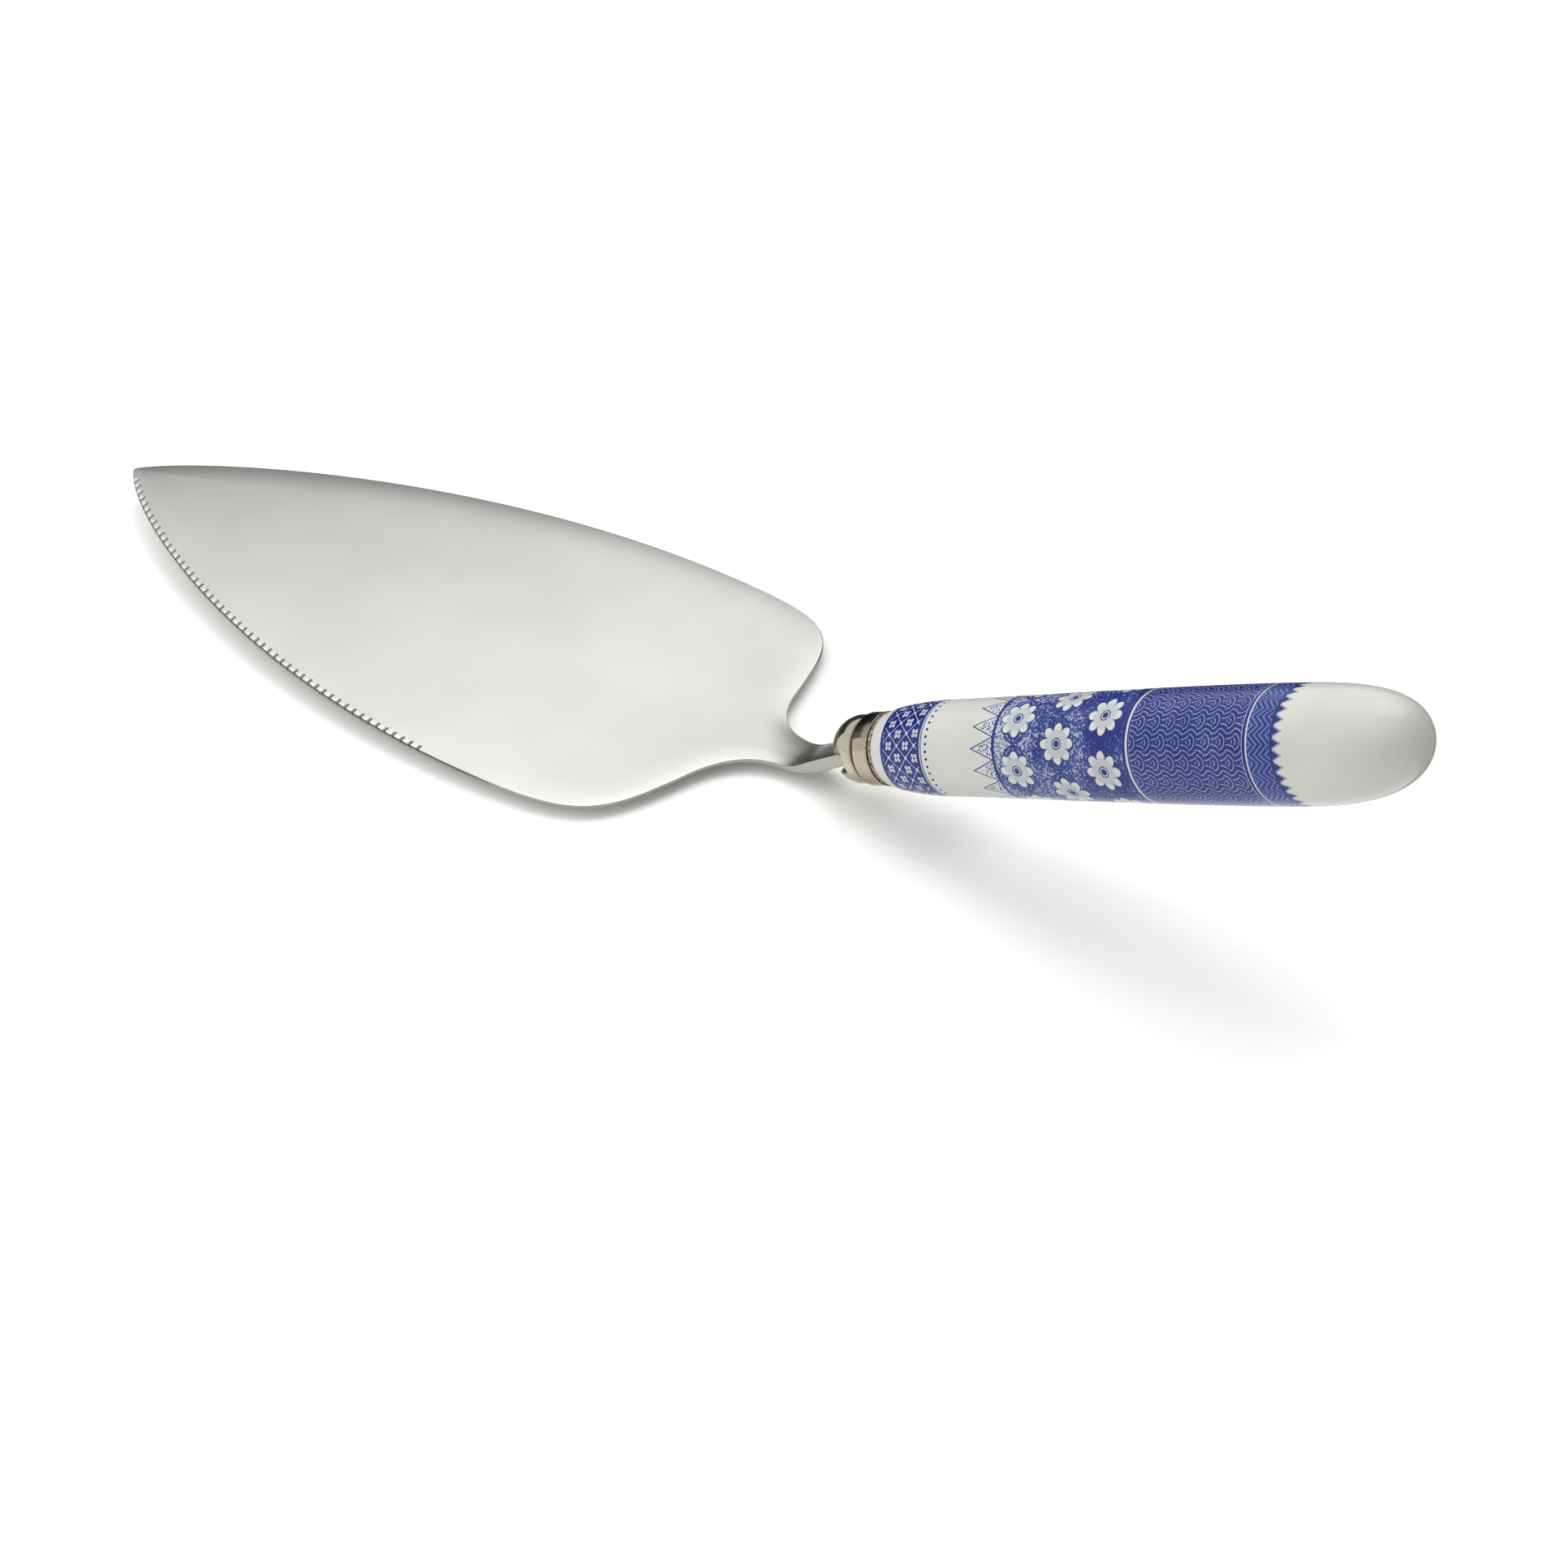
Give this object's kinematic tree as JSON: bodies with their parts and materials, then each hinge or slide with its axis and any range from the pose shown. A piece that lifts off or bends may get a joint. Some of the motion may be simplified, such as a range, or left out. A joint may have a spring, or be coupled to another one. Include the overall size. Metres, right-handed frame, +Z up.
{
  "type": "cake server",
  "caption": "Leaf-shaped steel cake server with one serrated edge, a slotted cap and collar, and a raised blue-and-white glazed porcelain handle.",
  "frame": {"origin": "on the flat underside of the blade, on the centre line at the blade's widest section", "axes": "+X along the server to the handle's butt, +Z up out of the blade's top face, +Y to the plain edge of the blade; the serrated edge is on the -Y side"},
  "size_m": [0.2528, 0.0682, 0.0574],
  "materials": {
    "satin_steel": "satin stainless steel, polished at the neck",
    "white_metal": "polished nickel silver",
    "joint_cement": "rough, pitted",
    "core_cement": "rough",
    "porcelain": "glossy glaze over a blue print"
  },
  "bodies": {
    "root": {"blade": "satin_steel", "dome_cap": "white_metal", "collar": "white_metal", "joint_bead": "joint_cement", "cement_core": "core_cement", "handle": "porcelain"}
  },
  "joints": []
}
